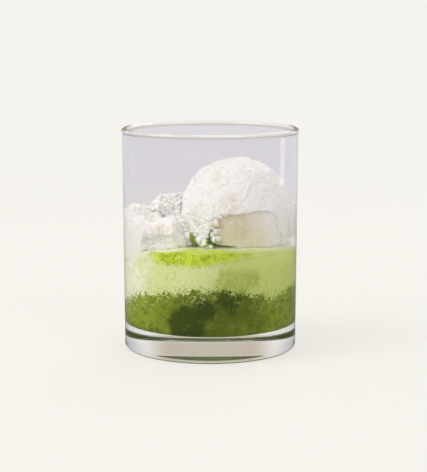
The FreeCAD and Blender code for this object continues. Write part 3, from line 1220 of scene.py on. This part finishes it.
    def _loose(self, place: Vector) -> float:
        """0 where the ice cream is pressed flat on the glass and 1 well off it."""
        return min(1.0, max(0.0, self.tumbler.gap(place)[0] / self.flattened))

    def _soak(self, place: Vector) -> float:
        """How green a place is: by its height over the froth and by the streaks."""
        away = self.froth.find_nearest(place)[3] / MM
        foot = math.exp(-(away / self.froth_reach) ** 2) * self.froth_stain
        if place.y > 0:
            return foot
        return max([foot] + [streak.share(place / MM) for streak in self.streaks])


# ------------------------------------------------------------------ the studio


@dataclass(frozen=True)
class Lamp:
    """Soft rectangular lamp aimed at the glass, with its power in watts."""

    name: str
    place: tuple[float, float, float]
    size: tuple[float, float]
    power: float
    target: tuple[float, float, float] = (0.0, 0.0, 0.05)

    def build(self) -> None:
        """Hangs the lamp, which is seen neither directly nor through the glass."""
        data = bpy.data.lights.new(self.name, "AREA")
        data.shape = "RECTANGLE"
        data.size, data.size_y = self.size
        data.energy = self.power
        lamp = bpy.data.objects.new(self.name, data)
        lamp.location = self.place
        lamp.visible_camera = False
        lamp.visible_transmission = False
        aim = Vector(self.target) - lamp.location
        lamp.rotation_euler = aim.to_track_quat("-Z", "Y").to_euler()
        bpy.context.scene.collection.objects.link(lamp)


@dataclass
class Studio:
    """Pale room, soft lamps and the camera, which looks a little down on the glass."""

    backdrop: Tint = Tint(245, 243, 237)
    veil: Tint = Tint(228, 226, 231)
    wall: Tint = Tint(204, 197, 180)
    wood: Tint = Tint(205, 195, 175)
    dark: Tint = Tint(0, 0, 0)
    to_wood: tuple[float, float] = (0.12, 0.32)
    to_backdrop: tuple[float, float] = (0.30, 0.60)
    veil_foot: tuple[float, float] = (-0.02, 0.04)
    veil_top: tuple[float, float] = (0.38, 0.28)
    veil_ahead: tuple[float, float] = (0.6, 0.8)
    to_front: tuple[float, float] = (0.2, -0.3)
    sky: tuple[float, float, float, float] = (1.0, 0.99, 0.97, 1.0)
    floor_radius: float = 1.6
    floor_segments: int = 96
    floor_fade: tuple[float, float] = (0.2, 0.8)
    lamps: tuple[Lamp, ...] = (
        Lamp("key", (-0.95, -0.38, 0.92), (0.8, 0.8), 7.9),
        Lamp("fill", (0.85, -0.95, 0.45), (0.7, 0.7), 3.0),
        Lamp("back", (0.35, 0.8, 0.75), (0.5, 0.5), 2.2),
        Lamp("strip", (0.42, 0.10, 0.045), (0.08, 0.035), 0.013),
    )
    daylight: float = 0.64
    front_dim: float = 0.75
    floor_glow: float = 0.7
    distance: float = 695.0 * MM
    eye_height: float = 162.3 * MM
    pitch: float = 9.0
    lens: float = 112.4
    sensor: float = 36.0
    shift: tuple[float, float] = (0.0070, 0.0038)
    floor_drop: float = 0.2 * MM

    def build(self) -> None:
        """Sets up everything round the object."""
        self._camera()
        self._world()
        self._floor()
        for lamp in self.lamps:
            lamp.build()
        bpy.context.scene.view_settings.view_transform = "Standard"

    def _camera(self) -> None:
        """Camera in front of the glass, pitched down."""
        data = bpy.data.cameras.new("camera")
        data.sensor_fit = "VERTICAL"
        data.sensor_height = self.sensor
        data.lens = self.lens
        data.shift_x, data.shift_y = self.shift
        camera = bpy.data.objects.new("camera", data)
        camera.location = (0.0, -self.distance, self.eye_height)
        camera.rotation_euler = (math.radians(90 - self.pitch), 0.0, 0.0)
        bpy.context.scene.collection.objects.link(camera)
        bpy.context.scene.camera = camera

    @staticmethod
    def _seen(wire: Wiring) -> tuple[Socket, Socket]:
        """Tells the rays that show the room from those that light the object.

        Args:
            wire: Wiring of the world or of the floor.

        Returns:
            1 for a ray that shows the room directly, through glass or mirrored, and 1 for a
            first reflection, each else 0.
        """
        path = wire.add("LightPath")
        straight = wire.calc("MAXIMUM", path.outputs["Is Camera Ray"],
                             path.outputs["Is Transmission Ray"])
        first = wire.calc("LESS_THAN", path.outputs["Ray Depth"], 1.5)
        return (wire.calc("MAXIMUM", straight, path.outputs["Is Glossy Ray"]),
                wire.times(path.outputs["Is Glossy Ray"], first))

    def _world(self) -> None:
        """Even light, and a pale backdrop for what is seen directly or in the glass."""
        world = bpy.data.worlds.new("room")
        bpy.context.scene.world = world
        world.use_nodes = True
        wire = Wiring(world.node_tree)
        nodes = world.node_tree.nodes
        light = nodes["Background"]
        light.inputs[0].default_value = self.sky
        light.inputs[1].default_value = self.daylight
        way = wire.add("SeparateXYZ", {0: wire.add("TexCoord").outputs["Generated"]})
        aside = wire.calc("ABSOLUTE", way.outputs["X"])
        room = wire.coats(self.wall, ((wire.span(aside, *self.to_wood), self.wood),
                                      (wire.span(aside, *self.to_backdrop), self.backdrop)))
        band = wire.times(wire.span(way.outputs["Z"], *self.veil_foot),
                          wire.span(way.outputs["Z"], *self.veil_top))
        band = wire.times(band, wire.span(way.outputs["Y"], *self.veil_ahead))
        through = wire.blend(band, self.veil.linear, room)
        path = wire.add("LightPath")
        colour = wire.blend(path.outputs["Is Camera Ray"], through, self.backdrop.linear)
        sight, mirrored = self._seen(wire)
        front = wire.span(way.outputs["Y"], *self.to_front)
        dim = wire.times(wire.times(mirrored, front), self.front_dim)
        seen = wire.add("Background", {0: colour, 1: wire.calc("SUBTRACT", 1.0, dim)})
        mixed = wire.add("MixShader", {0: sight, 1: light.outputs[0], 2: seen.outputs[0]})
        wire.feed(nodes["World Output"], "Surface", mixed.outputs[0])

    def _floor(self) -> None:
        """Pale round floor that fades into the backdrop and keeps a soft shadow."""
        bm = bmesh.new()
        bmesh.ops.create_circle(bm, cap_ends=True, segments=self.floor_segments,
                                radius=self.floor_radius)
        bmesh.ops.translate(bm, verts=bm.verts, vec=(0, 0, -self.floor_drop))
        floor = new_piece("floor", bm)
        material = bpy.data.materials.new("floor")
        material.use_nodes = True
        wire = Wiring(material.node_tree)
        nodes = material.node_tree.nodes
        place = wire.add("TexCoord").outputs["Object"]
        close = wire.near(place, (0.0, 0.0, 0.0), *self.floor_fade)
        sight, mirrored = self._seen(wire)
        dim = wire.times(mirrored, self.front_dim)
        colour = wire.coats(self.backdrop, ((dim, self.dark),))
        paint = wire.add("BsdfDiffuse", {0: colour})
        glow = wire.add("Emission", {0: colour})
        lit = wire.add("MixShader", {0: wire.times(sight, self.floor_glow),
                                     1: paint.outputs[0], 2: glow.outputs[0]})
        clear = wire.add("BsdfTransparent")
        mixed = wire.add("MixShader", {0: close, 1: clear.outputs[0], 2: lit.outputs[0]})
        wire.feed(nodes["Material Output"], "Surface", mixed.outputs[0])
        floor.data.materials.append(material)


def main() -> None:
    """Builds the dessert, then the studio round it."""
    logging.basicConfig(level=logging.INFO, format="%(name)s %(message)s")
    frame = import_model()
    nodes = frame["nodes"]
    effects = Effects()

    _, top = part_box(Solid.GLASS.value)
    tumbler = Tumbler(height=top.z, rim_radius=top.x)
    glass = tumbler.build("tumbler")
    dress(glass, ClearGlass().make(effects), Solid.GLASS, "glass")
    Layers(nodes, tumbler).build(effects)
    IceCream(nodes, tumbler).build(effects)
    Studio().build()


if __name__ == "__main__":
    main()
